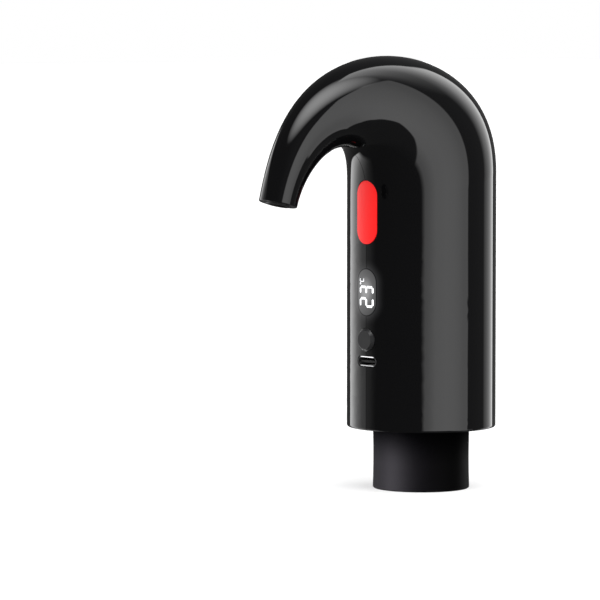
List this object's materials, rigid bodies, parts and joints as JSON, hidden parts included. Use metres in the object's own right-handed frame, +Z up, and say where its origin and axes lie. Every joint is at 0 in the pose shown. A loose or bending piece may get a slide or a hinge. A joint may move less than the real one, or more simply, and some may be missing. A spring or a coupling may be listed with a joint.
{
  "type": "wine preservation dispenser",
  "caption": "Upright electric wine dispenser: a round body on a bottle stopper runs on into a swan-neck spout, with a pour button, a display window and a charging socket.",
  "frame": {"origin": "on the stopper's upright axis, in the plane of the bottle's rim", "axes": "+Z up along the stopper and body, spout towards -Y, +X to the right seen from the front"},
  "size_m": [0.05, 0.0948, 0.145],
  "materials": {
    "gloss_black_shell": "high gloss",
    "soft_black_rubber": "satin",
    "black_plastic": "matte",
    "red_button": "gloss",
    "smoked_window": "gloss",
    "grey_button": "satin",
    "switch_plastic": "matte",
    "stem_plastic": "satin",
    "display_plastic": "matte",
    "socket_steel": "satin",
    "board_laminate": "satin",
    "screw_steel": "plain",
    "frame_plastic": "matte",
    "cell_wrap": "satin wrap",
    "pump_plastic": "matte",
    "pump_rubber": "matte",
    "motor_steel": "satin",
    "clear_tube": "translucent silicone",
    "seal_rubber": "matte",
    "sensor_copper": "plain"
  },
  "bodies": {
    "dispenser": {"left_housing": "gloss_black_shell", "right_housing": "gloss_black_shell", "base_cover": "black_plastic", "base_screws": "screw_steel", "inner_frame": "frame_plastic", "main_board": "board_laminate", "board_screws": "screw_steel", "pour_switch": "switch_plastic", "display_window": "smoked_window", "display_module": "display_plastic", "mode_switch": "switch_plastic", "socket_shell": "socket_steel", "socket_tongue": "switch_plastic", "battery_cell": "cell_wrap", "pump_valve_cap": "pump_plastic", "pump_diaphragm": "pump_rubber", "pump_housing": "pump_plastic", "pump_motor": "motor_steel", "air_tube": "clear_tube", "wine_tube": "clear_tube", "nozzle": "black_plastic", "temperature_sensor": "sensor_copper", "release_valve": "switch_plastic", "stopper_core": "black_plastic", "core_ring": "seal_rubber", "stopper_skirt": "soft_black_rubber", "stopper_plug": "soft_black_rubber"},
    "pour_button": {"pour_button": "red_button", "pour_switch_stem": "stem_plastic"},
    "mode_button": {"mode_button": "grey_button", "mode_switch_stem": "stem_plastic"},
    "pump_rotor": {"motor_shaft": "screw_steel", "pump_crank": "stem_plastic"},
    "release_plunger": {"release_plunger": "screw_steel"}
  },
  "joints": [
    {"name": "pour_button_press", "type": "slide", "parent": "dispenser", "child": "pour_button", "axis": [0, 1, 0], "range_m": [0, 0.0006], "stiffness_N_per_m": 800, "springref_m": -0.001},
    {"name": "mode_button_press", "type": "slide", "parent": "dispenser", "child": "mode_button", "axis": [0, 1, 0], "range_m": [0, 0.0004], "stiffness_N_per_m": 800, "springref_m": -0.001},
    {"name": "pump_rotor_spin", "type": "hinge", "parent": "dispenser", "child": "pump_rotor", "pos_m": [0.01082, 0.00684, 0.05], "axis": [0, 0, 1], "continuous": true},
    {"name": "release_plunger_lift", "type": "slide", "parent": "dispenser", "child": "release_plunger", "axis": [0, 0, 1], "range_m": [0, 0.001], "stiffness_N_per_m": 200, "springref_m": -0.002}
  ]
}
